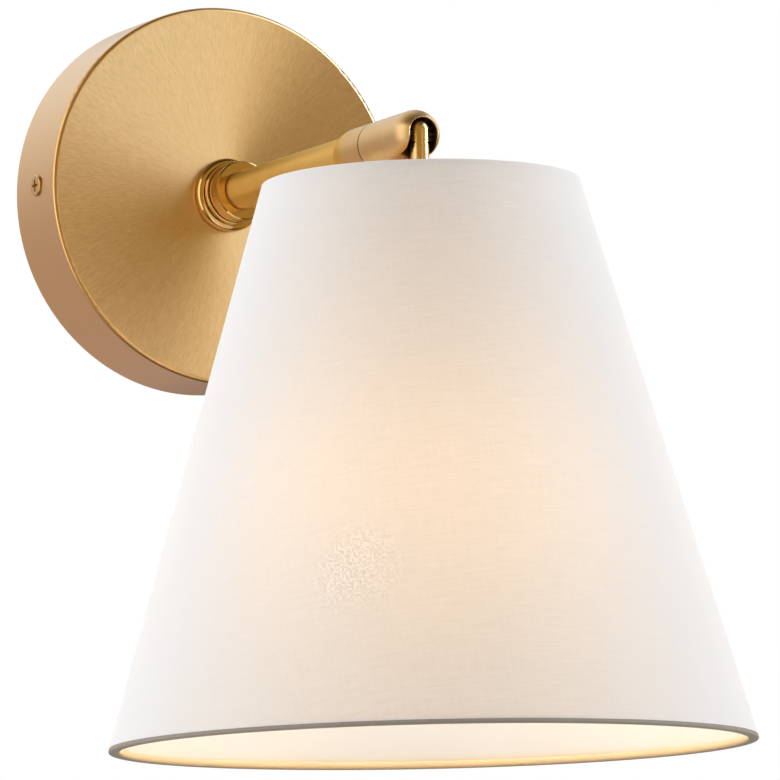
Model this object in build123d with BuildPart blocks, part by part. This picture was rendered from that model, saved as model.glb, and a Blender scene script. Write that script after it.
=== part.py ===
from build123d import *
from math import asin, atan2, cos, hypot, radians, sin, sqrt, tan
import os

# A wall sconce. The origin is the middle of the canopy's back edge, on the wall.
# The arm runs out from the wall along -Y and the shade hangs below the arm's end.
# A "reach" is measured out from the wall and a "drop" down from the tilt pin.

# Clearances
seat_gap = 0.05  # between pieces that are fixed to each other
running_gap = 0.06  # between a pin or spigot and the bore that turns on it
turn_gap = 0.3  # between round faces of pieces that move past each other
face_gap = 0.1  # between flat faces of pieces that turn against each other

# Canopy
canopy_dia = 125.0
canopy_depth = 28.6
canopy_wall = 1.2
canopy_rim_radius = 1.4

# Strap behind the canopy
strap_width = 22.0
strap_thickness = 1.6
strap_bend = 2.0
strap_wire_hole = 14.0
box_spacing_min = 70.0
box_spacing_max = 89.0
box_slot_width = 5.0
ear_margin = 5.0
ground_screw_offset = 24.0
ground_screw_dia = 4.0
ground_head_flats = 8.0
ground_head_height = 3.0

# Screws through the canopy's side into the strap's ears
side_screw_reach = 15.6
side_screw_rise = 2.0
side_screw_dia = 4.0
side_screw_length = 9.0
side_head_dia = 7.0
side_head_height = 0.7
side_head_round = 0.5
cross_span = 3.8
cross_width = 0.9
cross_depth = 1.1

# Threaded nipple with its washer and nut, inside the canopy
nipple_wall = 1.8
nipple_in_tube = 12.0
nipple_past_nut = 2.0
lock_washer_dia = 17.0
lock_washer_thickness = 0.9
nut_flats = 17.0
nut_thickness = 4.0

# Collar on the canopy's face
flange_dia = 24.2
flange_thickness = 3.8
flange_band = 0.2
collar_length = 8.6
collar_neck_dia = 18.8
collar_neck_length = 0.8
collar_bead_dia = 21.0
collar_bead_length = 1.7
collar_bead_round = 0.5
collar_groove_dia = 18.4
collar_groove_length = 0.5
collar_barrel_dia = 19.4
collar_edge = 0.4
collar_recess_gap = 0.75
collar_recess_depth = 1.5

# Arm tube
tube_dia = 12.5
tube_wall = 1.2

# Swivel at the arm's end
swivel_dia = 15.5
swivel_wall = 1.75
swivel_length = 24.0
nose_length = 19.4
nose_lip = 0.12
nose_taper_length = 7.8
tube_in_nose = 6.3
spigot_tip = 2.3
shoulder_length = 5.3
cavity_setback = 6.4
ring_room = 0.4
snap_ring_lip = 0.8
wave_washer_thickness = 0.7
snap_ring_thickness = 1.0
snap_groove_depth = 0.6

# Pin that stops the swivel before it twists the leads
stop_pin_dia = 1.2
stop_pin_in_nose = 3.0
stop_pin_out = 1.8
stop_groove_margin = 0.1
stop_half_angle = 8.0

# Tilting knuckle in the swivel's domed end
pivot_reach = 163.4
dome_setback = 3.0
slot_width = 9.6
slot_edge = 0.3
tilt_in = 5.0
tilt_pin_dia = 2.0
tilt_pin_length = 12.4
stem_dia = 5.8
stem_flat_width = 5.2
stem_top_gap = 0.6
stem_groove_drop = 2.8
stem_groove_width = 0.5
stem_groove_depth = 0.25
stem_flange_dia = 10.0
stem_flange_thickness = 1.8
stem_bore = 3.0
stem_port_drop = 6.8
stem_port_dia = 2.6
friction_washer_dia = 4.6
stem_nut_flats = 11.0
stem_nut_thickness = 3.0
stem_past_nut = 3.8

# Lamp socket
cap_drop = 12.0
cap_dia = 40.0
cap_wall = 1.0
cap_height = 22.0
cap_round = 1.5
socket_top_drop = 24.0
socket_web = 4.0
socket_flange_lip = 3.2
socket_flange_thickness = 3.0
barrel_dia = 40.6
barrel_length = 25.0
terminal_hole_dia = 3.0
terminal_hole_offset = 8.0
shell_wall = 0.9
thread_gap = 0.55
shell_length = 26.0
shell_window = 14.0
contact_dia = 8.0
contact_height = 3.0

# Bulb
bulb_contact_dia = 9.0
bulb_contact_height = 1.2
insulator_height = 3.8
insulator_top_dia = 10.0
insulator_base_dia = 22.0
base_dia = 26.2
base_length = 24.0
base_wall = 0.6
base_window = 12.0
bulb_dia = 60.0
bulb_length = 86.0
bulb_neck_in_base = 10.0
bulb_neck_out = 2.0
glass_wall = 1.0

# Shade and its frame
rim_drop = 15.7
shade_top_dia = 98.6
shade_bottom_dia = 200.0
shade_height = 175.0
cover_thickness = 0.5
liner_thickness = 0.5
hem_height = 0.9
hem_width = 4.2
hem_round = 0.4
ring_wire_dia = 2.5
mouth_wire_dia = 1.5
spoke_count = 3
spoke_start = 90.0
fitter_ring_width = 5.7
fitter_ring_thickness = 2.0
spoke_inset = 0.8
ring_nut_wall = 3.2
ring_nut_height = 6.0

# Leads and their connectors
lead_dia = 1.8
lead_spread = 2.8
lead_room = 0.8
lead_out = 2.0
lead_bend_radius = 5.0
connector_start = 13.0
connector_length = 20.0
connector_dia = 12.0
connector_taper = 5.0
lead_in_connector = 8.0

# Places that follow from the sizes above
canopy_radius = canopy_dia / 2
canopy_inside = canopy_radius - canopy_wall
face_inside = canopy_depth - canopy_wall
strap_half_length = sqrt(canopy_inside**2 - (strap_width / 2) ** 2) - turn_gap
box_slot_centre = (box_spacing_min + box_spacing_max) / 4
box_slot_travel = (box_spacing_max - box_spacing_min) / 2
washer_reach = face_inside - lock_washer_thickness
nut_reach = washer_reach - nut_thickness
nipple_dia = tube_dia - 2 * tube_wall - 2 * seat_gap
nipple_start = nut_reach - nipple_past_nut
lead_turn_reach = nipple_start - lead_out - lead_bend_radius
flange_reach = canopy_depth + flange_thickness
flange_round = (flange_thickness - flange_band) / 2
nipple_end = flange_reach + nipple_in_tube
collar_reach = flange_reach + collar_length
collar_recess_dia = tube_dia + 2 * collar_recess_gap
dome_reach = pivot_reach - dome_setback
tip_reach = dome_reach + swivel_dia / 2
seam_reach = dome_reach - swivel_length
nose_reach = seam_reach - nose_length
tube_end = nose_reach + tube_in_nose
swivel_cavity_dia = swivel_dia - 2 * swivel_wall
snap_ring_dia = swivel_cavity_dia - 2 * ring_room
spigot_dia = snap_ring_dia - 2 * snap_ring_lip
spigot_bore = lead_spread + lead_dia + 2 * lead_room
stop_pin_radius = (spigot_dia + swivel_dia) / 4
body_reach = seam_reach + turn_gap
shoulder_reach = body_reach + shoulder_length
wave_washer_reach = shoulder_reach + face_gap
snap_ring_reach = wave_washer_reach + wave_washer_thickness + seat_gap
snap_groove_end = snap_ring_reach + snap_ring_thickness + seat_gap
spigot_reach = snap_groove_end + spigot_tip
cavity_reach = dome_reach - cavity_setback
slot_lean = stem_dia / 2 / cos(radians(tilt_in)) + swivel_dia / 2 * tan(radians(tilt_in))
slot_reach = pivot_reach - slot_lean - turn_gap
washer_thickness = (slot_width - stem_flat_width) / 2 - face_gap
stem_top = slot_width / 2 - stem_top_gap
stem_end_drop = cap_drop + cap_wall + stem_nut_thickness + stem_past_nut
cap_end_drop = cap_drop + cap_height
socket_bore = base_dia + 2 * (thread_gap + shell_wall + seat_gap)
socket_flange_dia = barrel_dia + 2 * socket_flange_lip
ring_nut_dia = barrel_dia + 2 * ring_nut_wall
fitter_ring_dia = barrel_dia + 2 * fitter_ring_width
socket_end_drop = cap_end_drop + socket_flange_thickness + barrel_length
fitter_drop = cap_end_drop + socket_flange_thickness
ring_nut_drop = fitter_drop + fitter_ring_thickness
shell_drop = socket_top_drop + socket_web
bulb_drop = shell_drop + contact_height
insulator_drop = bulb_drop + bulb_contact_height
base_drop = insulator_drop + insulator_height
base_end_drop = base_drop + base_length
bulb_neck_dia = base_dia - 2 * base_wall - 2 * face_gap
glass_drop = base_end_drop - bulb_neck_in_base
neck_end_drop = base_end_drop + bulb_neck_out
bulb_end_drop = base_end_drop + bulb_length
shade_end_drop = rim_drop + shade_height
cover_drop = rim_drop + hem_height
cover_end_drop = shade_end_drop - hem_height
shade_slope = (shade_bottom_dia - shade_top_dia) / 2 / shade_height
wire_lean = ring_wire_dia / 2 * sqrt(1 + shade_slope**2)
mouth_wire_lean = mouth_wire_dia / 2 * sqrt(1 + shade_slope**2)

# Half sections are drawn as (radius, reach) beside the arm and (radius, drop) beside the shade
arm_section = Plane((0, 0, 0), x_dir=(1, 0, 0), z_dir=(0, 0, -1))
arm_axis = Axis((0, 0, 0), (0, -1, 0))
head_section = Plane((0, -pivot_reach, 0), x_dir=(1, 0, 0), z_dir=(0, 1, 0))
head_axis = Axis((0, -pivot_reach, 0), (0, 0, -1))
head_centre = (0, -pivot_reach)
side_screw_place = (-side_screw_reach, side_screw_rise)


# Outer radius of the shade's cone at a given drop
def cone_radius(drop):
    return shade_top_dia / 2 + shade_slope * (drop - rim_drop)


# Radius of the liner's inner face at a given drop
def liner_radius(drop):
    return cone_radius(drop) - cover_thickness - seat_gap - liner_thickness


os.makedirs("parts", exist_ok=True)

# Canopy: a round pan, open against the wall
with BuildPart() as canopy:
    with BuildSketch(Plane.XZ):
        Circle(canopy_radius)
    extrude(amount=canopy_depth)
    fillet(canopy.edges().group_by(Axis.Y)[0], canopy_rim_radius)
    offset(amount=-canopy_wall, openings=canopy.faces().sort_by(Axis.Y)[-1])
    with BuildSketch(Plane.XZ):
        Circle(nipple_dia / 2 + seat_gap)
    extrude(amount=canopy_depth, mode=Mode.SUBTRACT)
    with BuildSketch(Plane.YZ):
        with Locations(side_screw_place):
            Circle(side_screw_dia / 2 + face_gap)
    extrude(amount=canopy_radius, both=True, mode=Mode.SUBTRACT)
canopy.part.label = "canopy"
export_step(canopy.part, "parts/canopy.step")

# Side screws with crossed recesses, one on each side
with BuildPart() as side_screws:
    with BuildSketch(Plane.YZ.offset(canopy_radius)):
        with Locations(side_screw_place):
            Circle(side_head_dia / 2)
    extrude(amount=side_head_height)
    fillet(side_screws.edges().group_by(Axis.X)[-1], side_head_round)
    with BuildSketch(Plane.YZ.offset(canopy_radius)):
        with Locations(side_screw_place):
            Circle(side_screw_dia / 2)
    extrude(amount=-side_screw_length)
    with BuildSketch(Plane.YZ.offset(canopy_radius + side_head_height)):
        with Locations(side_screw_place):
            Rectangle(cross_span, cross_width)
            Rectangle(cross_width, cross_span)
    extrude(amount=-cross_depth, mode=Mode.SUBTRACT)
    mirror(about=Plane.YZ)
side_screws.part.label = "canopy_side_screws"
export_step(side_screws.part, "parts/canopy_side_screws.step")

# Strap: a flat bar with slots for the box screws and a bent ear at each end
with BuildPart() as strap:
    with BuildSketch(Plane.XZ):
        Rectangle(2 * strap_half_length, strap_width)
        Circle(strap_wire_hole / 2, mode=Mode.SUBTRACT)
        with Locations((-box_slot_centre, 0), (box_slot_centre, 0)):
            SlotCenterToCenter(box_slot_travel, box_slot_width, mode=Mode.SUBTRACT)
        with Locations((ground_screw_offset, 0)):
            Circle(ground_screw_dia / 2 + seat_gap, mode=Mode.SUBTRACT)
    extrude(amount=strap_thickness)
    ear_height = side_screw_reach + ear_margin
    for side in (1, -1):
        with BuildSketch(Plane.YZ.offset(side * strap_half_length)):
            with Locations((-ear_height / 2, 0)):
                Rectangle(ear_height, strap_width)
        extrude(amount=-side * strap_thickness)
    fillet(strap.edges().filter_by(Axis.Z).group_by(Axis.Y)[-1], strap_bend)
    with BuildSketch(Plane.YZ):
        with Locations(side_screw_place):
            Circle(side_screw_dia / 2 + seat_gap)
    extrude(amount=strap_half_length, both=True, mode=Mode.SUBTRACT)
strap.part.label = "mounting_strap"
export_step(strap.part, "parts/mounting_strap.step")

# Hex ground screw in the strap
with BuildPart() as ground_screw:
    with BuildSketch(Plane.XZ):
        with Locations((ground_screw_offset, 0)):
            Circle(ground_screw_dia / 2)
    extrude(amount=strap_thickness)
    with BuildSketch(Plane.XZ.offset(strap_thickness)):
        with Locations((ground_screw_offset, 0)):
            RegularPolygon(ground_head_flats / 2, 6, major_radius=False)
    extrude(amount=ground_head_height)
ground_screw.part.label = "ground_screw"
export_step(ground_screw.part, "parts/ground_screw.step")

# Hollow threaded nipple from inside the canopy into the tube's end
with BuildPart() as nipple:
    with BuildSketch(Plane.XZ.offset(nipple_start)):
        Circle(nipple_dia / 2)
        Circle(nipple_dia / 2 - nipple_wall, mode=Mode.SUBTRACT)
    extrude(amount=nipple_end - nipple_start)
nipple.part.label = "arm_nipple"
export_step(nipple.part, "parts/arm_nipple.step")

# Lock washer under the canopy's face
with BuildPart() as lock_washer:
    with BuildSketch(Plane.XZ.offset(washer_reach)):
        Circle(lock_washer_dia / 2)
        Circle(nipple_dia / 2 + seat_gap, mode=Mode.SUBTRACT)
    extrude(amount=lock_washer_thickness)
lock_washer.part.label = "lock_washer"
export_step(lock_washer.part, "parts/lock_washer.step")

# Hex nut that draws the arm against the canopy
with BuildPart() as arm_nut:
    with BuildSketch(Plane.XZ.offset(nut_reach)):
        RegularPolygon(nut_flats / 2, 6, major_radius=False)
        Circle(nipple_dia / 2 + seat_gap, mode=Mode.SUBTRACT)
    extrude(amount=nut_thickness)
arm_nut.part.label = "arm_nut"
export_step(arm_nut.part, "parts/arm_nut.step")

# Rounded flange on the canopy's face, clamped by the tube's end
with BuildPart() as flange:
    with BuildSketch(arm_section) as flange_profile:
        with BuildLine():
            Polyline(
                (nipple_dia / 2 + seat_gap, canopy_depth),
                (flange_dia / 2, canopy_depth),
                (flange_dia / 2, flange_reach),
                (nipple_dia / 2 + seat_gap, flange_reach),
                close=True,
            )
        make_face()
        fillet(flange_profile.vertices().group_by(Axis.X)[-1], flange_round)
    revolve(axis=arm_axis)
flange.part.label = "collar_flange"
export_step(flange.part, "parts/collar_flange.step")

# Stepped collar around the tube
with BuildPart() as collar:
    bead_reach = flange_reach + collar_neck_length
    groove_reach = bead_reach + collar_bead_length
    barrel_reach = groove_reach + collar_groove_length
    with BuildSketch(arm_section) as collar_profile:
        with BuildLine():
            Polyline(
                (tube_dia / 2 + seat_gap, flange_reach),
                (collar_neck_dia / 2, flange_reach),
                (collar_neck_dia / 2, bead_reach),
                (collar_bead_dia / 2, bead_reach),
                (collar_bead_dia / 2, groove_reach),
                (collar_groove_dia / 2, groove_reach),
                (collar_groove_dia / 2, barrel_reach),
                (collar_barrel_dia / 2, barrel_reach),
                (collar_barrel_dia / 2, collar_reach - collar_edge),
                (collar_barrel_dia / 2 - collar_edge, collar_reach),
                (collar_recess_dia / 2, collar_reach),
                (collar_recess_dia / 2, collar_reach - collar_recess_depth),
                (tube_dia / 2 + seat_gap, collar_reach - collar_recess_depth),
                close=True,
            )
        make_face()
        fillet(collar_profile.vertices().group_by(Axis.X)[-1], collar_bead_round)
    revolve(axis=arm_axis)
collar.part.label = "collar"
export_step(collar.part, "parts/collar.step")

# Straight arm tube
with BuildPart() as tube:
    with BuildSketch(Plane.XZ.offset(flange_reach)):
        Circle(tube_dia / 2)
        Circle(tube_dia / 2 - tube_wall, mode=Mode.SUBTRACT)
    extrude(amount=tube_end - flange_reach)
tube.part.label = "arm_tube"
export_step(tube.part, "parts/arm_tube.step")

# Swivel nose: fixed on the tube, with the spigot that the swivel turns on
with BuildPart() as nose:
    nose_lip_radius = tube_dia / 2 + nose_lip
    snap_groove_radius = spigot_dia / 2 - snap_groove_depth
    with BuildSketch(arm_section):
        with BuildLine():
            TangentArc(
                (swivel_dia / 2, nose_reach + nose_taper_length),
                (nose_lip_radius, nose_reach),
                tangent=(0, -1),
            )
            Polyline(
                (nose_lip_radius, nose_reach),
                (tube_dia / 2 + seat_gap, nose_reach),
                (tube_dia / 2 + seat_gap, tube_end),
                (spigot_bore / 2, tube_end),
                (spigot_bore / 2, spigot_reach),
                (spigot_dia / 2, spigot_reach),
                (spigot_dia / 2, snap_groove_end),
                (snap_groove_radius, snap_groove_end),
                (snap_groove_radius, snap_ring_reach - seat_gap),
                (spigot_dia / 2, snap_ring_reach - seat_gap),
                (spigot_dia / 2, seam_reach),
                (swivel_dia / 2, seam_reach),
                (swivel_dia / 2, nose_reach + nose_taper_length),
            )
        make_face()
    revolve(axis=arm_axis)
    with BuildSketch(Plane.XZ.offset(seam_reach)):
        with Locations((0, stop_pin_radius)):
            Circle(stop_pin_dia / 2 + seat_gap)
    extrude(amount=-stop_pin_in_nose, mode=Mode.SUBTRACT)
nose.part.label = "swivel_nose"
export_step(nose.part, "parts/swivel_nose.step")

# Stop pin standing out of the nose into the swivel's groove
with BuildPart() as stop_pin:
    with BuildSketch(Plane.XZ.offset(seam_reach - stop_pin_in_nose)):
        with Locations((0, stop_pin_radius)):
            Circle(stop_pin_dia / 2)
    extrude(amount=stop_pin_in_nose + stop_pin_out)
stop_pin.part.label = "turn_stop_pin"
export_step(stop_pin.part, "parts/turn_stop_pin.step")

# Spring washer between the swivel's shoulder and the snap ring
with BuildPart() as wave_washer:
    with BuildSketch(Plane.XZ.offset(wave_washer_reach)):
        Circle(snap_ring_dia / 2)
        Circle(spigot_dia / 2 + seat_gap, mode=Mode.SUBTRACT)
    extrude(amount=wave_washer_thickness)
wave_washer.part.label = "swivel_spring_washer"
export_step(wave_washer.part, "parts/swivel_spring_washer.step")

# Snap ring in the spigot's groove
with BuildPart() as snap_ring:
    with BuildSketch(Plane.XZ.offset(snap_ring_reach)):
        Circle(snap_ring_dia / 2)
        Circle(spigot_dia / 2 - snap_groove_depth + seat_gap, mode=Mode.SUBTRACT)
    extrude(amount=snap_ring_thickness)
snap_ring.part.label = "swivel_snap_ring"
export_step(snap_ring.part, "parts/swivel_snap_ring.step")

# Swivel body: a sleeve with a domed end, slotted at the front and below for the knuckle
with BuildPart() as swivel:
    dome_mid = swivel_dia / 2 * sin(radians(45))
    groove_half = stop_pin_dia / 2 + stop_groove_margin
    groove_end = seam_reach + stop_pin_out + turn_gap
    with BuildSketch(arm_section):
        with BuildLine():
            Polyline(
                (0, tip_reach),
                (0, cavity_reach),
                (swivel_cavity_dia / 2, cavity_reach),
                (swivel_cavity_dia / 2, shoulder_reach),
                (spigot_dia / 2 + running_gap, shoulder_reach),
                (spigot_dia / 2 + running_gap, body_reach),
                (swivel_dia / 2, body_reach),
                (swivel_dia / 2, dome_reach),
            )
            ThreePointArc((swivel_dia / 2, dome_reach), (dome_mid, dome_reach + dome_mid), (0, tip_reach))
        make_face()
    revolve(axis=arm_axis)
    with BuildSketch(Plane.XY.rotated((0, 90 + stop_half_angle, 0))):
        with Locations((stop_pin_radius, -(body_reach + groove_end) / 2)):
            Rectangle(2 * groove_half, groove_end - body_reach)
    revolve(axis=Axis.Y, revolution_arc=360 - 2 * stop_half_angle, mode=Mode.SUBTRACT)
    with BuildSketch(Plane.XZ.offset(cavity_reach)):
        Circle(slot_width / 2)
    extrude(amount=tip_reach - cavity_reach, mode=Mode.SUBTRACT)
    with BuildSketch(Plane.XZ.offset(slot_reach)):
        with Locations((0, -swivel_dia / 2)):
            Rectangle(slot_width, swivel_dia)
    extrude(amount=tip_reach - slot_reach, mode=Mode.SUBTRACT)
    dome_face = swivel.faces().filter_by(GeomType.SPHERE)[0]
    slot_rim = dome_face.edges().filter_by_position(Axis.Y, -tip_reach, -dome_reach - slot_edge)
    slot_end = swivel.edges().filter_by_position(Axis.Y, -slot_reach, -slot_reach).sort_by(Axis.Z)[0]
    chamfer([*slot_rim, slot_end], slot_edge)
    with BuildSketch(Plane.YZ):
        with Locations((-pivot_reach, 0)):
            Circle(friction_washer_dia / 2 + turn_gap)
    extrude(amount=slot_width / 2, both=True, mode=Mode.SUBTRACT)
    with BuildSketch(Plane.YZ):
        with Locations((-pivot_reach, 0)):
            Circle(tilt_pin_dia / 2 + seat_gap)
    extrude(amount=tilt_pin_length / 2 + seat_gap, both=True, mode=Mode.SUBTRACT)
swivel.part.label = "swivel_body"
export_step(swivel.part, "parts/swivel_body.step")

# Tilt pin across the slot
with BuildPart() as tilt_pin:
    with BuildSketch(Plane.YZ):
        with Locations((-pivot_reach, 0)):
            Circle(tilt_pin_dia / 2)
    extrude(amount=tilt_pin_length / 2, both=True)
tilt_pin.part.label = "tilt_pin"
export_step(tilt_pin.part, "parts/tilt_pin.step")

# Knuckle: a round-topped stem on the tilt pin, with a flange that carries the socket cap
with BuildPart() as knuckle:
    stem_radius = stem_dia / 2
    cap_arc = stem_radius * sin(radians(45))
    round_centre = stem_radius - stem_top
    groove_bottom = stem_groove_drop + stem_groove_width
    flange_drop = cap_drop - stem_flange_thickness
    with BuildSketch(head_section):
        with BuildLine():
            ThreePointArc((0, -stem_top), (cap_arc, round_centre - cap_arc), (stem_radius, round_centre))
            Polyline(
                (stem_radius, round_centre),
                (stem_radius, stem_groove_drop),
                (stem_radius - stem_groove_depth, stem_groove_drop),
                (stem_radius - stem_groove_depth, groove_bottom),
                (stem_radius, groove_bottom),
                (stem_radius, flange_drop),
                (stem_flange_dia / 2, flange_drop),
                (stem_flange_dia / 2, cap_drop),
                (stem_radius, cap_drop),
                (stem_radius, stem_end_drop),
                (0, stem_end_drop),
                (0, -stem_top),
            )
        make_face()
    revolve(axis=head_axis)
    for side in (1, -1):
        with BuildSketch(Plane.YZ.offset(side * stem_flat_width / 2)):
            with Locations((-pivot_reach, 0)):
                Circle(friction_washer_dia / 2 + seat_gap)
            with Locations((-pivot_reach - seat_gap - friction_washer_dia / 2, 0)):
                Rectangle(friction_washer_dia, 2 * friction_washer_dia, mode=Mode.SUBTRACT)
        extrude(amount=side * stem_radius, mode=Mode.SUBTRACT)
    with BuildSketch(Plane.YZ):
        with Locations((-pivot_reach, 0)):
            Circle(tilt_pin_dia / 2 + running_gap)
    extrude(amount=stem_radius, both=True, mode=Mode.SUBTRACT)
    with BuildSketch(Plane.XY.offset(-stem_end_drop)):
        with Locations(head_centre):
            Circle(stem_bore / 2)
    extrude(amount=stem_end_drop - stem_port_drop, mode=Mode.SUBTRACT)
    with BuildSketch(Plane.XZ.offset(pivot_reach)):
        with Locations((0, -stem_port_drop)):
            Circle(stem_port_dia / 2)
    extrude(amount=-stem_radius, mode=Mode.SUBTRACT)
knuckle.part.label = "knuckle"
export_step(knuckle.part, "parts/knuckle.step")

# Half-round friction washers on both flats of the stem, behind the tilt pin
with BuildPart() as friction_washers:
    for side in (1, -1):
        with BuildSketch(Plane.YZ.offset(side * stem_flat_width / 2)):
            with Locations((-pivot_reach, 0)):
                Circle(friction_washer_dia / 2)
                Circle(tilt_pin_dia / 2 + running_gap, mode=Mode.SUBTRACT)
            with Locations((-pivot_reach - friction_washer_dia / 2, 0)):
                Rectangle(friction_washer_dia, 2 * friction_washer_dia, mode=Mode.SUBTRACT)
        extrude(amount=side * washer_thickness)
friction_washers.part.label = "friction_washers"
export_step(friction_washers.part, "parts/friction_washers.step")

# Socket cap: an upturned cup under the stem's flange
with BuildPart() as cap:
    stem_hole = stem_dia / 2 + seat_gap
    with BuildSketch(head_section):
        with BuildLine():
            Polyline(
                (stem_hole, cap_drop),
                (cap_dia / 2 - cap_round, cap_drop),
                (cap_dia / 2, cap_drop + cap_round),
                (cap_dia / 2, cap_end_drop),
                (cap_dia / 2 - cap_wall, cap_end_drop),
                (cap_dia / 2 - cap_wall, cap_drop + cap_round),
                (cap_dia / 2 - cap_round, cap_drop + cap_wall),
                (stem_hole, cap_drop + cap_wall),
                close=True,
            )
        make_face()
    revolve(axis=head_axis)
cap.part.label = "socket_cap"
export_step(cap.part, "parts/socket_cap.step")

# Nut that holds the cap on the stem
with BuildPart() as stem_nut:
    with BuildSketch(Plane.XY.offset(-cap_drop - cap_wall)):
        with Locations(head_centre):
            RegularPolygon(stem_nut_flats / 2, 6, major_radius=False)
            Circle(stem_dia / 2 + seat_gap, mode=Mode.SUBTRACT)
    extrude(amount=-stem_nut_thickness)
stem_nut.part.label = "stem_nut"
export_step(stem_nut.part, "parts/stem_nut.step")

# Socket body: screws into the cap, with a flange and a threaded barrel below it
with BuildPart() as socket:
    socket_radius = cap_dia / 2 - cap_wall - seat_gap
    with BuildSketch(head_section):
        with BuildLine():
            Polyline(
                (0, socket_top_drop),
                (socket_radius, socket_top_drop),
                (socket_radius, cap_end_drop),
                (socket_flange_dia / 2, cap_end_drop),
                (socket_flange_dia / 2, fitter_drop),
                (barrel_dia / 2, fitter_drop),
                (barrel_dia / 2, socket_end_drop),
                (socket_bore / 2, socket_end_drop),
                (socket_bore / 2, shell_drop),
                (0, shell_drop),
                close=True,
            )
        make_face()
    revolve(axis=head_axis)
    with BuildSketch(Plane.XY.offset(-socket_top_drop)):
        with Locations((-terminal_hole_offset, -pivot_reach), (terminal_hole_offset, -pivot_reach)):
            Circle(terminal_hole_dia / 2)
    extrude(amount=-socket_web, mode=Mode.SUBTRACT)
socket.part.label = "socket_body"
export_step(socket.part, "parts/socket_body.step")

# Metal screw shell inside the socket
with BuildPart() as screw_shell:
    shell_radius = socket_bore / 2 - seat_gap
    with BuildSketch(head_section):
        with BuildLine():
            Polyline(
                (shell_window / 2, shell_drop),
                (shell_radius, shell_drop),
                (shell_radius, shell_drop + shell_length),
                (shell_radius - shell_wall, shell_drop + shell_length),
                (shell_radius - shell_wall, shell_drop + shell_wall),
                (shell_window / 2, shell_drop + shell_wall),
                close=True,
            )
        make_face()
    revolve(axis=head_axis)
screw_shell.part.label = "socket_screw_shell"
export_step(screw_shell.part, "parts/socket_screw_shell.step")

# Centre contact of the socket
with BuildPart() as centre_contact:
    with BuildSketch(Plane.XY.offset(-shell_drop)):
        with Locations(head_centre):
            Circle(contact_dia / 2)
    extrude(amount=-contact_height)
centre_contact.part.label = "socket_centre_contact"
export_step(centre_contact.part, "parts/socket_centre_contact.step")

# Contact button of the bulb
with BuildPart() as bulb_contact:
    with BuildSketch(Plane.XY.offset(-bulb_drop)):
        with Locations(head_centre):
            Circle(bulb_contact_dia / 2)
    extrude(amount=-bulb_contact_height)
bulb_contact.part.label = "bulb_contact"
export_step(bulb_contact.part, "parts/bulb_contact.step")

# Insulator between the bulb's contact and its base
with BuildPart() as insulator:
    with BuildSketch(head_section):
        with BuildLine():
            Polyline(
                (0, insulator_drop),
                (insulator_top_dia / 2, insulator_drop),
                (insulator_base_dia / 2, base_drop),
                (0, base_drop),
                close=True,
            )
        make_face()
    revolve(axis=head_axis)
insulator.part.label = "bulb_insulator"
export_step(insulator.part, "parts/bulb_insulator.step")

# Screw base of the bulb
with BuildPart() as bulb_base:
    with BuildSketch(head_section):
        with BuildLine():
            Polyline(
                (base_window / 2, base_drop),
                (base_dia / 2, base_drop),
                (base_dia / 2, base_end_drop),
                (base_dia / 2 - base_wall, base_end_drop),
                (base_dia / 2 - base_wall, base_drop + base_wall),
                (base_window / 2, base_drop + base_wall),
                close=True,
            )
        make_face()
    revolve(axis=head_axis)
bulb_base.part.label = "bulb_base"
export_step(bulb_base.part, "parts/bulb_base.step")

# Bulb glass: a neck that widens along a tangent into a sphere
with BuildPart() as bulb_glass:
    neck_radius = bulb_neck_dia / 2
    ball_radius = bulb_dia / 2
    ball_drop = bulb_end_drop - ball_radius
    to_ball = hypot(neck_radius, ball_drop - neck_end_drop)
    flare = asin(ball_radius / to_ball) - atan2(neck_radius, ball_drop - neck_end_drop)
    flare_end = (ball_radius * cos(flare), ball_drop - ball_radius * sin(flare))
    with BuildSketch(head_section):
        with BuildLine():
            Polyline(
                (0, bulb_end_drop),
                (0, glass_drop),
                (neck_radius, glass_drop),
                (neck_radius, neck_end_drop),
                flare_end,
            )
            ThreePointArc(
                flare_end,
                (ball_radius * cos(radians(45)), ball_drop + ball_radius * sin(radians(45))),
                (0, bulb_end_drop),
            )
        make_face()
    revolve(axis=head_axis)
    offset(amount=-glass_wall, openings=bulb_glass.faces().sort_by(Axis.Z)[-1])
bulb_glass.part.label = "bulb_glass"
export_step(bulb_glass.part, "parts/bulb_glass.step")

# Fitter frame: a centre ring, spokes and the shade's top ring, welded together
with BuildPart() as fitter:
    top_ring_drop = cover_drop + ring_wire_dia / 2 + seat_gap
    top_ring_radius = liner_radius(top_ring_drop) - wire_lean - face_gap
    spoke_radius = fitter_ring_dia / 2 - spoke_inset
    spoke_mid_drop = fitter_drop + fitter_ring_thickness / 2
    with BuildSketch(Plane.XY.offset(-fitter_drop)):
        with Locations(head_centre):
            Circle(fitter_ring_dia / 2)
            Circle(barrel_dia / 2 + seat_gap, mode=Mode.SUBTRACT)
    extrude(amount=-fitter_ring_thickness)
    with BuildSketch(head_section):
        with Locations((top_ring_radius, top_ring_drop)):
            Circle(ring_wire_dia / 2)
    revolve(axis=head_axis)
    for turn in range(spoke_count):
        angle = radians(spoke_start + 360 / spoke_count * turn)
        inner = Vector(cos(angle) * spoke_radius, sin(angle) * spoke_radius - pivot_reach, -spoke_mid_drop)
        outer = Vector(cos(angle) * top_ring_radius, sin(angle) * top_ring_radius - pivot_reach, -top_ring_drop)
        with BuildSketch(Plane(inner, z_dir=outer - inner)):
            Circle(ring_wire_dia / 2)
        extrude(amount=(outer - inner).length)
fitter.part.label = "shade_fitter"
export_step(fitter.part, "parts/shade_fitter.step")

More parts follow.
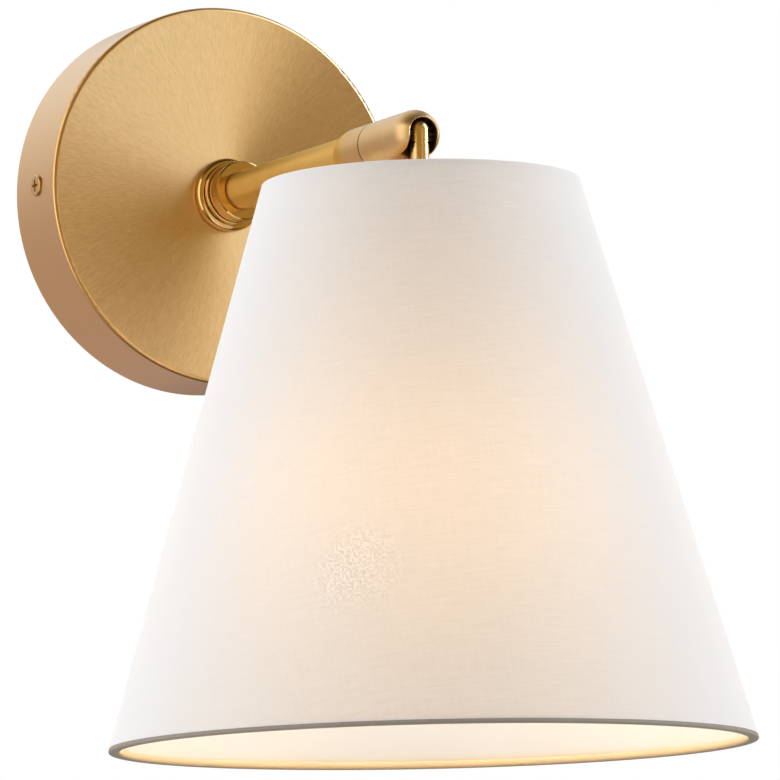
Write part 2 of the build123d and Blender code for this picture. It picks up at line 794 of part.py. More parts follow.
# Ring nut that holds the fitter on the socket
with BuildPart() as ring_nut:
    with BuildSketch(Plane.XY.offset(-ring_nut_drop)):
        with Locations(head_centre):
            Circle(ring_nut_dia / 2)
            Circle(barrel_dia / 2 + seat_gap, mode=Mode.SUBTRACT)
    extrude(amount=-ring_nut_height)
ring_nut.part.label = "shade_ring_nut"
export_step(ring_nut.part, "parts/shade_ring_nut.step")

# Fabric cover of the shade
with BuildPart() as cover:
    with BuildSketch(head_section):
        with BuildLine():
            Polyline(
                (cone_radius(cover_drop) - cover_thickness, cover_drop),
                (cone_radius(cover_drop), cover_drop),
                (cone_radius(cover_end_drop), cover_end_drop),
                (cone_radius(cover_end_drop) - cover_thickness, cover_end_drop),
                close=True,
            )
        make_face()
    revolve(axis=head_axis)
cover.part.label = "shade_cover"
export_step(cover.part, "parts/shade_cover.step")

# Stiff liner behind the cover
with BuildPart() as liner:
    with BuildSketch(head_section):
        with BuildLine():
            Polyline(
                (liner_radius(cover_drop), cover_drop),
                (liner_radius(cover_drop) + liner_thickness, cover_drop),
                (liner_radius(cover_end_drop) + liner_thickness, cover_end_drop),
                (liner_radius(cover_end_drop), cover_end_drop),
                close=True,
            )
        make_face()
    revolve(axis=head_axis)
liner.part.label = "shade_liner"
export_step(liner.part, "parts/shade_liner.step")

# Hem folded over the top ring
with BuildPart() as top_hem:
    with BuildSketch(head_section) as top_hem_profile:
        with BuildLine():
            Polyline(
                (cone_radius(rim_drop) - hem_width, rim_drop),
                (cone_radius(rim_drop), rim_drop),
                (cone_radius(cover_drop), cover_drop),
                (cone_radius(cover_drop) - hem_width, cover_drop),
                close=True,
            )
        make_face()
        fillet(top_hem_profile.vertices().group_by(Axis.Y)[0], hem_round)
    revolve(axis=head_axis)
top_hem.part.label = "shade_top_hem"
export_step(top_hem.part, "parts/shade_top_hem.step")

# Hem folded under the bottom ring
with BuildPart() as bottom_hem:
    with BuildSketch(head_section) as bottom_hem_profile:
        with BuildLine():
            Polyline(
                (cone_radius(cover_end_drop) - hem_width, cover_end_drop),
                (cone_radius(cover_end_drop), cover_end_drop),
                (cone_radius(shade_end_drop), shade_end_drop),
                (cone_radius(shade_end_drop) - hem_width, shade_end_drop),
                close=True,
            )
        make_face()
        fillet(bottom_hem_profile.vertices().group_by(Axis.Y)[-1], hem_round)
    revolve(axis=head_axis)
bottom_hem.part.label = "shade_bottom_hem"
export_step(bottom_hem.part, "parts/shade_bottom_hem.step")

# Wire ring that keeps the shade's mouth round
with BuildPart() as bottom_ring:
    bottom_ring_drop = cover_end_drop - mouth_wire_dia / 2 - seat_gap
    bottom_ring_radius = liner_radius(bottom_ring_drop) - mouth_wire_lean - face_gap
    with BuildSketch(head_section):
        with Locations((bottom_ring_radius, bottom_ring_drop)):
            Circle(mouth_wire_dia / 2)
    revolve(axis=head_axis)
bottom_ring.part.label = "shade_bottom_ring"
export_step(bottom_ring.part, "parts/shade_bottom_ring.step")

# Two leads through the tube, turned aside in the canopy
with BuildPart() as leads:
    lead_x = lead_spread / 2
    lead_tip = connector_start + lead_in_connector
    with BuildLine() as lead_path:
        FilletPolyline(
            (lead_x, -spigot_reach, 0),
            (lead_x, -lead_turn_reach, 0),
            (lead_tip, -lead_turn_reach, 0),
            radius=lead_bend_radius,
        )
    with BuildSketch(Plane(lead_path.line @ 0, z_dir=lead_path.line % 0)):
        Circle(lead_dia / 2)
    sweep()
    mirror(about=Plane.YZ)
leads.part.label = "supply_leads"
export_step(leads.part, "parts/supply_leads.step")

# Screw-on connectors over the leads' ends
with BuildPart() as connectors:
    with BuildSketch(Plane.YZ.offset(connector_start)):
        with Locations((-lead_turn_reach, 0)):
            Circle(connector_dia / 2)
    extrude(amount=connector_length, taper=connector_taper)
    with BuildSketch(Plane.YZ.offset(connector_start)):
        with Locations((-lead_turn_reach, 0)):
            Circle(lead_dia / 2 + seat_gap)
    extrude(amount=lead_in_connector, mode=Mode.SUBTRACT)
    mirror(about=Plane.YZ)
connectors.part.label = "wire_connectors"
export_step(connectors.part, "parts/wire_connectors.step")
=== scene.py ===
import math

import bmesh
import bpy
from mathutils import Matrix, Vector


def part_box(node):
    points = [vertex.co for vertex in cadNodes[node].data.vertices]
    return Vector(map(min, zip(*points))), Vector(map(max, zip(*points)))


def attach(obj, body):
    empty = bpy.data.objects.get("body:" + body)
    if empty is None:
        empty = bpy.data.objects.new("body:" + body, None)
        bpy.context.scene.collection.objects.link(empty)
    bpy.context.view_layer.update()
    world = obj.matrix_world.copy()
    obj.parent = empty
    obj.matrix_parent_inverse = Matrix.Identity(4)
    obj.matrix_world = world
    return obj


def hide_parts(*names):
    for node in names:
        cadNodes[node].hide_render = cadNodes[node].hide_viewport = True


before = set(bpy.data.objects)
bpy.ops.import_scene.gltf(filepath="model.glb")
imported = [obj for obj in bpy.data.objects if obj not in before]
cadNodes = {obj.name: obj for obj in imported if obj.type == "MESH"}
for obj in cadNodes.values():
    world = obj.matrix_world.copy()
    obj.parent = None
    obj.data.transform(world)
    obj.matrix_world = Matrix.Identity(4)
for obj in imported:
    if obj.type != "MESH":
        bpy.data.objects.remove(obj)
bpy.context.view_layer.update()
print("frame loaded:", len(cadNodes), "nodes")

shaderSockets = {
    "tone": "Base Color",
    "metal": "Metallic",
    "rough": "Roughness",
    "tangent": "Tangent",
    "aniso": "Anisotropic",
    "coat": "Coat Weight",
    "coatRough": "Coat Roughness",
    "sheen": "Sheen Weight",
    "sheenRough": "Sheen Roughness",
    "level": "Specular IOR Level",
    "glow": "Emission Color",
    "glowStrength": "Emission Strength",
}


def startFinish(name):
    finish = bpy.data.materials.new(name)
    finish.use_nodes = True
    tree = finish.node_tree
    return finish, tree, tree.nodes["Principled BSDF"]


def feed(tree, value, socket):
    # another node's output is linked, a plain value is set
    if isinstance(value, bpy.types.NodeSocket):
        tree.links.new(value, socket)
    else:
        socket.default_value = value


def addNode(tree, kind, inputs=None, **settings):
    node = tree.nodes.new("ShaderNode" + kind)
    for key, value in settings.items():
        setattr(node, key, value)
    for key, value in (inputs or {}).items():
        feed(tree, value, node.inputs[key])
    return node


def setShader(tree, shader, **values):
    for key, value in values.items():
        feed(tree, value, shader.inputs[shaderSockets[key]])


def mathStep(tree, operation, first, second=0.0, third=0.0):
    inputs = {0: first, 1: second, 2: third}
    return addNode(tree, "Math", inputs, operation=operation).outputs[0]


def vectorStep(tree, operation, first, second=(0, 0, 0)):
    node = addNode(tree, "VectorMath", {0: first, 1: second}, operation=operation)
    return node.outputs["Value"] if operation in ("LENGTH", "DOT_PRODUCT") else node.outputs[0]


def stretch(tree, vector, factor):
    inputs = {0: vector, "Scale": factor}
    return addNode(tree, "VectorMath", inputs, operation="SCALE").outputs[0]


def alongY(tree, length):
    return addNode(tree, "CombineXYZ", {1: length}).outputs[0]


def minusPart(tree, place, axis):
    # the arm reaches out along -Y, and the shade hangs along -Z
    part = addNode(tree, "SeparateXYZ", {0: place}).outputs[axis]
    return mathStep(tree, "MULTIPLY", part, -1.0)


def remap(tree, value, low, high, toLow=0.0, toHigh=1.0):
    inputs = {"Value": value, "From Min": low, "From Max": high, "To Min": toLow, "To Max": toHigh}
    return addNode(tree, "MapRange", inputs).outputs["Result"]


def widen(tree, noise, toLow=0.0, toHigh=1.0, margin=0.3):
    # a noise keeps to its middle, which is stretched to the whole range
    return remap(tree, noise, margin, 1.0 - margin, toLow, toHigh)


def rest(tree, mask):
    return mathStep(tree, "SUBTRACT", 1.0, mask)


def fade(tree, mask, first, second):
    # the first value where the mask is 0, the second where it is 1
    kept = mathStep(tree, "MULTIPLY", first, rest(tree, mask))
    return mathStep(tree, "MULTIPLY_ADD", mask, second, kept)


def weighted(tree, share, first, second):
    kept = mathStep(tree, "MULTIPLY", second, 1.0 - share)
    return mathStep(tree, "MULTIPLY_ADD", first, share, kept)


def noiseOn(tree, vector, scale=1.0, detail=2.0, roughness=0.5):
    inputs = {"Vector": vector, "Scale": scale, "Detail": detail, "Roughness": roughness}
    return addNode(tree, "TexNoise", inputs).outputs["Fac"]


def wholeTone(tone):
    return tone if isinstance(tone, bpy.types.NodeSocket) else (*tone, 1.0)


def mixTone(tree, factor, first, second):
    inputs = {0: factor, 6: wholeTone(first), 7: wholeTone(second)}
    return addNode(tree, "Mix", inputs, data_type="RGBA").outputs[2]


def dim(tone, share):
    return tuple(share * part for part in tone)


def mixShaders(tree, share, first, second):
    inputs = {0: share, 1: first.outputs[0], 2: second.outputs[0]}
    return addNode(tree, "MixShader", inputs)


def objectPlace(tree):
    return addNode(tree, "TexCoord").outputs["Object"]


def bumpFrom(tree, shader, height, strength, depth):
    bump = addNode(tree, "Bump", {"Height": height, "Strength": strength, "Distance": depth})
    tree.links.new(bump.outputs["Normal"], shader.inputs["Normal"])


camera = {
    "place": (-0.9885, -2.0180, -0.3376),
    "azimuth": -27.76,
    "elevation": -6.99,
    "roll": -1.30,
    "lens": 316.55,
    "sensor": 36.0,
    "clipEnd": 100.0,
}


def backWay():
    # from the object to the camera
    azimuth = math.radians(camera["azimuth"])
    elevation = math.radians(camera["elevation"])
    flat = math.cos(elevation)
    return Vector((math.sin(azimuth) * flat, -math.cos(azimuth) * flat, math.sin(elevation)))


def setCamera():
    back = backWay()
    right = (-back).cross(Vector((0, 0, 1))).normalized()
    turn = Matrix((right, back.cross(right), back)).transposed().to_4x4()
    turn = turn @ Matrix.Rotation(math.radians(camera["roll"]), 4, "Z")
    data = bpy.data.cameras.new("camera")
    data.lens = camera["lens"]
    data.sensor_width = camera["sensor"]
    data.clip_end = camera["clipEnd"]
    viewer = bpy.data.objects.new("camera", data)
    bpy.context.scene.collection.objects.link(viewer)
    turn.translation = Vector(camera["place"])
    viewer.matrix_world = turn
    bpy.context.scene.camera = viewer


setCamera()
print("camera set")

# tones are how bright the room looks to cloth, and to metal towards each side
# spans are where one tone gives way to the next, in parts of a direction
studio = {
    "clothTone": 0.64,
    "frontTone": 0.36,
    "frontTint": (1.0, 0.66, 0.20),
    "behindSpan": (-0.15, 0.55),
    "backLow": 0.46,
    "backHigh": 0.94,
    "backSpan": (0.05, 0.5),
    "backLowTint": (1.0, 0.78, 0.72),
    "backHighTint": (1.0, 1.0, 1.0),
    "backTintSpan": (-0.1, 0.4),
    "ceilingTone": 0.05,
    "ceilingSpan": (0.55, 0.85),
    "viewerTone": 0.35,
    "viewerSpan": (0.90, 0.97),
    "belowTone": 0.10,
    "belowSpan": (-0.55, -0.85),
    "rightBackTone": 0.22,
    "rightSpan": (0.25, 0.5),
    "rightBackSpan": (0.0, 0.3),
    "middle": (0, -0.13, -0.09),
    "lightDistance": 1.6,
    # direction to the light, width, height, watts, tint, and whether it is for cloth or metal
    "lights": {
        "clothLeft": ((-0.93, 0.35, 0.20), 1.0, 1.6, 16.0, (0.94, 0.96, 1.0), "cloth"),
        "clothRight": ((0.84, -0.48, 0.25), 1.0, 1.6, 15.0, (0.94, 0.96, 1.0), "cloth"),
        "metalLeft": ((-0.97, 0.02, 0.10), 1.2, 2.4, 9.5, (1.0, 1.0, 1.0), "metal"),
        "metalRight": ((0.86, -0.31, 0.53), 1.0, 1.2, 15.5, (0.88, 1.07, 1.40), "metal"),
        "metalSide": ((0.95, -0.28, 0.14), 0.5, 0.4, 3.5, (1.0, 0.97, 0.90), "metal"),
        "metalFront": ((0.12, -0.99, 0.02), 0.4, 0.5, 0.6, (1.0, 1.0, 1.0), "metal"),
    },
}


def metalRoom(tree):
    # paler behind and up, warm in front, dark overhead, below and behind on the right
    way = addNode(tree, "TexCoord").outputs["Generated"]
    right, back, up = addNode(tree, "SeparateXYZ", {0: way}).outputs
    toViewer = vectorStep(tree, "DOT_PRODUCT", way, tuple(backWay()))
    behind = remap(tree, back, *studio["behindSpan"])
    backTone = remap(tree, up, *studio["backSpan"], studio["backLow"], studio["backHigh"])
    tone = fade(tree, behind, studio["frontTone"], backTone)
    overhead = remap(tree, up, *studio["ceilingSpan"])
    onRight = remap(tree, right, *studio["rightSpan"])
    atBack = remap(tree, back, *studio["rightBackSpan"])
    darker = {
        "ceilingTone": mathStep(tree, "MULTIPLY", overhead, rest(tree, behind)),
        "viewerTone": remap(tree, toViewer, *studio["viewerSpan"]),
        "belowTone": remap(tree, up, *studio["belowSpan"]),
        "rightBackTone": mathStep(tree, "MULTIPLY", onRight, atBack),
    }
    for name, mask in darker.items():
        tone = fade(tree, mask, tone, studio[name])
    higher = remap(tree, up, *studio["backTintSpan"])
    backTint = mixTone(tree, higher, studio["backLowTint"], studio["backHighTint"])
    tint = mixTone(tree, behind, studio["frontTint"], backTint)
    return addNode(tree, "Background", {"Color": tint, "Strength": tone})


def setRoom():
    # the picture's ground is white, whatever tone lights the object
    world = bpy.data.worlds.new("studio")
    world.use_nodes = True
    tree = world.node_tree
    tree.nodes.clear()
    white = (1, 1, 1, 1)
    path = addNode(tree, "LightPath").outputs
    ground = addNode(tree, "Background", {"Color": white, "Strength": 1.0})
    cloth = addNode(tree, "Background", {"Color": white, "Strength": studio["clothTone"]})
    lit = mixShaders(tree, path["Is Glossy Ray"], cloth, metalRoom(tree))
    shown = mixShaders(tree, path["Is Camera Ray"], lit, ground)
    addNode(tree, "OutputWorld", {"Surface": shown.outputs[0]})
    bpy.context.scene.world = world
    bpy.context.scene.view_settings.view_transform = "Standard"


def setLights():
    for name, (way, width, height, watts, tint, use) in studio["lights"].items():
        data = bpy.data.lights.new(name, "AREA")
        data.shape = "RECTANGLE"
        data.size, data.size_y = width, height
        data.energy = watts
        data.color = tint
        light = bpy.data.objects.new(name, data)
        bpy.context.scene.collection.objects.link(light)
        way = Vector(way).normalized()
        light.location = Vector(studio["middle"]) + way * studio["lightDistance"]
        light.rotation_mode = "QUATERNION"
        light.rotation_quaternion = way.to_track_quat("Z", "Y")
        light.visible_camera = False
        light.visible_diffuse = use == "cloth"
        light.visible_glossy = use == "metal"


def keepMesh(made, name, finish):
    mesh = bpy.data.meshes.new(name)
    made.to_mesh(mesh)
    made.free()
    mesh.materials.append(finish)
    piece = bpy.data.objects.new(name, mesh)
    bpy.context.scene.collection.objects.link(piece)
    return piece


floorLook = {
    "height": -3.0,
    "size": 30.0,
    "cells": 4,
    "pale": (0.90, 0.90, 0.90),
    "deep": (0.86, 0.86, 0.86),
    "clouds": 3.0,
    "rough": 0.9,
}


def setFloor():
    finish, tree, shader = startFinish("paleFloor")
    grain = noiseOn(tree, objectPlace(tree), floorLook["clouds"])
    tone = mixTone(tree, grain, floorLook["deep"], floorLook["pale"])
    setShader(tree, shader, tone=tone, rough=floorLook["rough"])
    cells = floorLook["cells"]
    made = bmesh.new()
    bmesh.ops.create_grid(made, x_segments=cells, y_segments=cells, size=floorLook["size"] / 2)
    bmesh.ops.translate(made, vec=(0, 0, floorLook["height"]), verts=made.verts)
    floor = keepMesh(made, "floor", finish)
    floor.visible_glossy = False


setRoom()
setLights()
setFloor()
print("studio set")

canopyFinish = {
    "pale": (0.97, 0.695, 0.35),
    "deep": (0.79, 0.54, 0.228),
    "side": (0.90, 0.575, 0.235),
    "faceEdge": 0.0608,
    "edgeBlend": 0.0004,
    "streaks": 140.0,
    "alongSpoke": 330.0,
    "streakRoughness": 0.6,
    "clouds": 26.0,
    "cloudShare": 0.15,
    "rough": 0.45,
    "roughSpread": 0.03,
    "sideRough": 0.36,
    "aniso": 0.8,
    "coat": 1.0,
    "coatRough": 0.3,
    "bump": 0.10,
    "bumpDepth": 0.00003,
}


def canopyBrass():
    look = canopyFinish
    finish, tree, shader = startFinish("canopyBrass")
    flat = vectorStep(tree, "MULTIPLY", objectPlace(tree), (1, 0, 1))
    radius = vectorStep(tree, "LENGTH", flat)
    spoke = vectorStep(tree, "NORMALIZE", flat)
    # brush marks run out from the middle
    outward = alongY(tree, mathStep(tree, "MULTIPLY", radius, look["alongSpoke"]))
    marks = vectorStep(tree, "ADD", stretch(tree, spoke, look["streaks"]), outward)
    fine = noiseOn(tree, marks, roughness=look["streakRoughness"])
    wide = noiseOn(tree, stretch(tree, spoke, look["clouds"]))
    streak = weighted(tree, look["cloudShare"], wide, fine)
    faceTone = mixTone(tree, widen(tree, streak), look["deep"], look["pale"])
    smoothest = look["rough"] - look["roughSpread"]
    roughest = look["rough"] + look["roughSpread"]
    faceRough = widen(tree, fine, smoothest, roughest)
    onSide = remap(tree, radius, look["faceEdge"], look["faceEdge"] + look["edgeBlend"])
    setShader(
        tree,
        shader,
        tone=mixTone(tree, onSide, faceTone, look["side"]),
        rough=fade(tree, onSide, faceRough, look["sideRough"]),
        tangent=vectorStep(tree, "CROSS_PRODUCT", spoke, (0, 1, 0)),
        metal=1.0,
        aniso=look["aniso"],
        coat=look["coat"],
        coatRough=look["coatRough"],
    )
    height = mathStep(tree, "MULTIPLY", fine, rest(tree, onSide))
    bumpFrom(tree, shader, height, look["bump"], look["bumpDepth"])
    return finish


def turnedLines(tree, shader, amount):
    # rings round the arm smear gloss along it
    setShader(tree, shader, tangent=alongY(tree, 1.0), aniso=amount)


# lengths are in metres out from the wall, or from the arm's axis
swivelFinish = {
    "pale": (0.88, 0.62, 0.31),
    "deep": (0.84, 0.575, 0.27),
    "gold": (0.96, 0.65, 0.20),
    "goldEnd": 0.1254,
    "goldBlend": 0.0004,
    "lines": 1900.0,
    "alongLines": (0.04, 1, 0.04),
    "lineRoughness": 0.6,
    "rough": 0.36,
    "roughSpread": 0.03,
    "aniso": 0.7,
    "coat": 0.4,
    "coatRough": 0.25,
    "bump": 0.08,
    "bumpDepth": 0.00001,
    # painted shade along the sleeve's seam
    "seam": (0.20, 0.11, 0.04),
    "seamShadeSpan": (0.00035, 0.00015),
    "domeReach": 0.1604,
    "radius": 0.00775,
    "skinSpan": (0.0003, 0.0006),
    "slotSpan": (0.1480, 0.1485),
    # painted shade inside the slot
    "slotShade": (0.20, 0.115, 0.045),
}


def swivelBrass():
    # satin with fine turned lines, and the tube's gold as far as the nose's flare
    look = swivelFinish
    finish, tree, shader = startFinish("swivelBrass")
    place = objectPlace(tree)
    turned = vectorStep(tree, "MULTIPLY", place, look["alongLines"])
    lines = noiseOn(tree, turned, look["lines"], roughness=look["lineRoughness"])
    satin = mixTone(tree, widen(tree, lines), look["deep"], look["pale"])
    reach = minusPart(tree, place, "Y")
    goldEnd, goldBlend = look["goldEnd"], look["goldBlend"]
    pastFlare = remap(tree, reach, goldEnd - goldBlend, goldEnd + goldBlend)
    brass = mixTone(tree, pastFlare, look["gold"], satin)
    # painted shade: a dark band along the seam where the sleeve turns widens the shade in the gap
    pastSeam = mathStep(tree, "ADD", reach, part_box("swivel_body")[1][1])
    fromSeam = mathStep(tree, "ABSOLUTE", pastSeam)
    brass = mixTone(tree, remap(tree, fromSeam, *look["seamShadeSpan"]), brass, look["seam"])
    # painted shade: the slot's inside is coloured dark where shade falls into it
    pastDome = mathStep(tree, "SUBTRACT", reach, look["domeReach"])
    bulge = alongY(tree, mathStep(tree, "MAXIMUM", pastDome, 0.0))
    across = vectorStep(tree, "MULTIPLY", place, (1, 0, 1))
    fromMiddle = vectorStep(tree, "LENGTH", vectorStep(tree, "ADD", across, bulge))
    deepIn = remap(tree, fromMiddle, *(look["radius"] - skin for skin in look["skinSpan"]))
    pastStart = remap(tree, reach, *look["slotSpan"])
    inSlot = mathStep(tree, "MULTIPLY", deepIn, pastStart)
    smoothest = look["rough"] - look["roughSpread"]
    roughest = look["rough"] + look["roughSpread"]
    setShader(
        tree,
        shader,
        tone=mixTone(tree, inSlot, brass, look["slotShade"]),
        rough=widen(tree, lines, smoothest, roughest),
        metal=1.0,
        coat=look["coat"],
        coatRough=look["coatRough"],
    )
    turnedLines(tree, shader, look["aniso"])
    bumpFrom(tree, shader, lines, look["bump"], look["bumpDepth"])
    return finish


# what the other metals share, and each one's own look
metalGrain = {
    "detail": 3.0,
    "roughness": 0.55,
    "clouds": 60.0,
    "cloudShare": 0.4,
    "roughSpread": 0.12,
    "roughMargin": 0.25,
    "bumpDepth": 0.00001,
}
metals = {
    "polishedBrass": {
        "pale": (0.92, 0.65, 0.31),
        "deep": (0.88, 0.60, 0.26),
        "rough": 0.09,
        "bump": 0.02,
    },
    "tubeBrass": {
        "pale": (0.96, 0.66, 0.21),
        "deep": (0.93, 0.625, 0.185),
        "rough": 0.44,
        "scale": 1500.0,
        "along": (0.05, 1, 0.05),
        "bump": 0.03,
        "turned": 0.8,
    },
    "stemBrass": {
        "pale": (0.90, 0.63, 0.29),
        "deep": (0.85, 0.57, 0.24),
        "rough": 0.27,
        "scale": 900.0,
        "along": (0.2, 0.2, 1),
        "bump": 0.01,
    },
    "capBrass": {
        "pale": (0.90, 0.63, 0.29),
        "deep": (0.88, 0.605, 0.27),
        "rough": 0.38,
        "scale": 1500.0,
        "bump": 0.01,
    },
    "screwBrass": {
        "pale": (0.84, 0.58, 0.26),
        "deep": (0.74, 0.48, 0.20),
        "rough": 0.26,
        "bump": 0.03,
    },
    "zincSteel": {"pale": (0.72, 0.73, 0.74), "deep": (0.60, 0.61, 0.62), "rough": 0.35},
    "springSteel": {"pale": (0.075, 0.075, 0.08), "deep": (0.05, 0.05, 0.055), "rough": 0.55},
    "contactBrass": {"pale": (0.86, 0.66, 0.34), "deep": (0.74, 0.53, 0.24), "rough": 0.25},
    "bulbMetal": {"pale": (0.80, 0.80, 0.80), "deep": (0.70, 0.70, 0.70), "rough": 0.25},
}


def brushedMetal(name, pale, deep, rough, scale=400.0, along=(1, 1, 1), bump=0.12, turned=0.0):
    look = metalGrain
    finish, tree, shader = startFinish(name)
    place = objectPlace(tree)
    brushed = vectorStep(tree, "MULTIPLY", place, along)
    marks = noiseOn(tree, brushed, scale, look["detail"], look["roughness"])
    cloud = noiseOn(tree, place, look["clouds"])
    mixed = weighted(tree, look["cloudShare"], cloud, marks)
    smoothest = rough * (1 - look["roughSpread"])
    roughest = rough * (1 + look["roughSpread"])
    setShader(
        tree,
        shader,
        tone=mixTone(tree, widen(tree, mixed), deep, pale),
        rough=widen(tree, marks, smoothest, roughest, look["roughMargin"]),
        metal=1.0,
    )
    if turned:
        turnedLines(tree, shader, turned)
    bumpFrom(tree, shader, marks, bump, look["bumpDepth"])
    return finish


plasticGrain = {
    "scale": 900.0,
    "detail": 3.0,
    "roughness": 0.6,
    "roughSpread": 0.1,
    "bump": 0.1,
    "bumpDepth": 0.00003,
}
plastics = {
    "greenPaint": {"pale": (0.03, 0.26, 0.09), "deep": (0.02, 0.20, 0.07), "rough": 0.35},
    "darkPlastic": {"pale": (0.030, 0.030, 0.031), "deep": (0.018, 0.018, 0.018), "rough": 0.45},
    "socketPlastic": {"pale": (0.80, 0.79, 0.76), "deep": (0.74, 0.73, 0.70), "rough": 0.45},
    "wirePaint": {"pale": (0.82, 0.82, 0.81), "deep": (0.74, 0.74, 0.73), "rough": 0.40},
    "connectorPlastic": {"pale": (0.70, 0.24, 0.03), "deep": (0.60, 0.19, 0.02), "rough": 0.40},
}


def grainyPlastic(name, pale, deep, rough):
    look = plasticGrain
    finish, tree, shader = startFinish(name)
    grain = noiseOn(tree, objectPlace(tree), look["scale"], look["detail"], look["roughness"])
    smoothest = rough * (1 - look["roughSpread"])
    roughest = rough * (1 + look["roughSpread"])
    setShader(
        tree,
        shader,
        tone=mixTone(tree, grain, deep, pale),
        rough=widen(tree, grain, smoothest, roughest),
    )
    bumpFrom(tree, shader, grain, look["bump"], look["bumpDepth"])
    return finish


lamp = {
    "pale": (0.97, 0.96, 0.94),
    "deep": (0.90, 0.88, 0.84),
    "frost": 300.0,
    "frostDetail": 3.0,
    "rough": 0.35,
    "glow": (1.0, 0.78, 0.52),
    "neckShare": 0.03,
    "strength": 12.5,
    "litSpan": (0.092, 0.133),
}


def litGlass():
    finish, tree, shader = startFinish("litGlass")
    place = objectPlace(tree)
    frost = noiseOn(tree, place, lamp["frost"], lamp["frostDetail"])
    # the neck stays dark and the round end shines
    lit = remap(tree, minusPart(tree, place, "Z"), *lamp["litSpan"])
    dark = dim(lamp["glow"], lamp["neckShare"])
    setShader(
        tree,
        shader,
        tone=mixTone(tree, frost, lamp["deep"], lamp["pale"]),
        glow=mixTone(tree, lit, dark, lamp["glow"]),
        rough=lamp["rough"],
        glowStrength=lamp["strength"],
    )
    return finish


finishes = {name: brushedMetal(name, **look) for name, look in metals.items()}
finishes.update({name: grainyPlastic(name, **look) for name, look in plastics.items()})
finishes["canopyBrass"] = canopyBrass()
finishes["swivelBrass"] = swivelBrass()
finishes["litGlass"] = litGlass()

madeOf = {
    "canopyBrass": ["canopy"],
    "polishedBrass": ["collar_flange", "collar"],
    "stemBrass": ["knuckle"],
    "capBrass": ["socket_cap"],
    "tubeBrass": ["arm_tube"],
    "swivelBrass": ["swivel_nose", "swivel_body"],
    "screwBrass": ["canopy_side_screws"],
    "zincSteel": ["mounting_strap", "arm_nipple", "arm_nut", "lock_washer", "stem_nut"],
    "springSteel": [
        "turn_stop_pin",
        "swivel_spring_washer",
        "swivel_snap_ring",
        "tilt_pin",
        "friction_washers",
    ],
    "contactBrass": ["socket_screw_shell", "socket_centre_contact", "bulb_contact"],
    "bulbMetal": ["bulb_base"],
    "greenPaint": ["ground_screw"],
    "darkPlastic": ["bulb_insulator"],
    "socketPlastic": ["socket_body", "shade_ring_nut"],
    "wirePaint": ["shade_fitter", "shade_bottom_ring"],
    "connectorPlastic": ["wire_connectors"],
    "litGlass": ["bulb_glass"],
}
for finishName, names in madeOf.items():
    for name in names:
        cadNodes[name].data.materials.clear()
        cadNodes[name].data.materials.append(finishes[finishName])
print("metal, plastic and lamp finishes set")

# radii and drops below the tilt pin, in metres
shade = {
    "pinReach": 0.1634,
    "topRadius": 0.0493,
    "mouthRadius": 0.1000,
    "topDrop": 0.0157,
    "mouthDrop": 0.1907,
    "coverStart": 0.0157,
    "coverEnd": 0.1893,
    "inset": 0.00005,
    "steps": 240,
    "rows": 44,
    "mergeWithin": 1e-7,
    "pale": (0.875, 0.865, 0.855),
    "deep": (0.805, 0.79, 0.775),
    "inside": (0.80, 0.85, 0.94),
    # painted shade: the liner's edge is coloured golden
    "insideEdgeShade": (0.92, 0.74, 0.50),
    "edgeShadeSpan": (0.1866, 0.1893),
    "warmth": (1.0, 0.735, 0.39),
    "warmLow": 0.90,
    "letsThrough": 0.26,
    "fuzz": (0.88, 0.87, 0.865),
    "fuzzRough": 0.5,
    "fuzzTurn": 0.5,
    "fuzzSpan": (0.02, 0.55),
    "fuzzMost": 0.85,
}
pinPlace = Vector((0, -shade["pinReach"], 0))
shadeHeight = shade["mouthDrop"] - shade["topDrop"]
shadeSlope = (shade["mouthRadius"] - shade["topRadius"]) / shadeHeight
shadeLean = shadeSlope / math.sqrt(1 + shadeSlope * shadeSlope)

# the weave of the cover and of its folded edges
weaving = {
    "threadPitch": 0.00042,
    "slubs": (90, 1500, 1),
    "uprights": (1500, 90, 1),
    "slubRoughness": 0.6,
    "slubShare": 0.65,
    "threadShare": 0.2,
    "rough": 0.95,
    "level": 0.2,
    "bump": 0.12,
    "bumpDepth": 0.00006,
}


def coneRadius(drop):
    return shade["topRadius"] + shadeSlope * (drop - shade["topDrop"])


def drawProfile(points):
    made = bmesh.new()
    verts = [made.verts.new(pinPlace + Vector((0, -radius, -drop))) for radius, drop in points]
    for pair in zip(verts, verts[1:]):
        made.edges.new(pair)
    return made


def smoothFaces(made):
    bmesh.ops.recalc_face_normals(made, faces=made.faces)
    for face in made.faces:
        face.smooth = True


def turnRound(made):
    bmesh.ops.spin(
        made,
        geom=made.verts[:] + made.edges[:],
        cent=pinPlace,
        axis=(0, 0, 1),
        angle=2 * math.pi,
        steps=shade["steps"],
        use_merge=True,
    )
    bmesh.ops.remove_doubles(made, verts=made.verts, dist=shade["mergeWithin"])
    smoothFaces(made)


def faceOutwards(made):
    made.faces.ensure_lookup_table()
    face = max(made.faces, key=lambda face: (face.calc_center_median() - pinPlace).xy.length)
    way = face.calc_center_median() - pinPlace
    if face.normal.xy.dot(way.xy) < 0:
        bmesh.ops.reverse_faces(made, faces=made.faces)


def layFlat(made):
    # the cone rolled out flat, in metres, so the threads run as they were cut
    layer = made.loops.layers.uv.new("flatCut")
    for face in made.faces:
        side = 1 if (face.calc_center_median() - pinPlace).x >= 0 else -1
        for loop in face.loops:
            way = loop.vert.co - pinPlace
            turned = math.atan2(abs(way.x), -way.y) * side * shadeLean
            reach = way.xy.length / shadeLean
            loop[layer].uv = (reach * math.sin(turned), -reach * math.cos(turned))


def threadWave(tree, length):
    beat = 2 * math.pi / weaving["threadPitch"]
    return mathStep(tree, "SINE", mathStep(tree, "MULTIPLY", length, beat))


def slubNoise(tree, flat, along):
    drawn = vectorStep(tree, "MULTIPLY", flat, along)
    return noiseOn(tree, drawn, roughness=weaving["slubRoughness"])


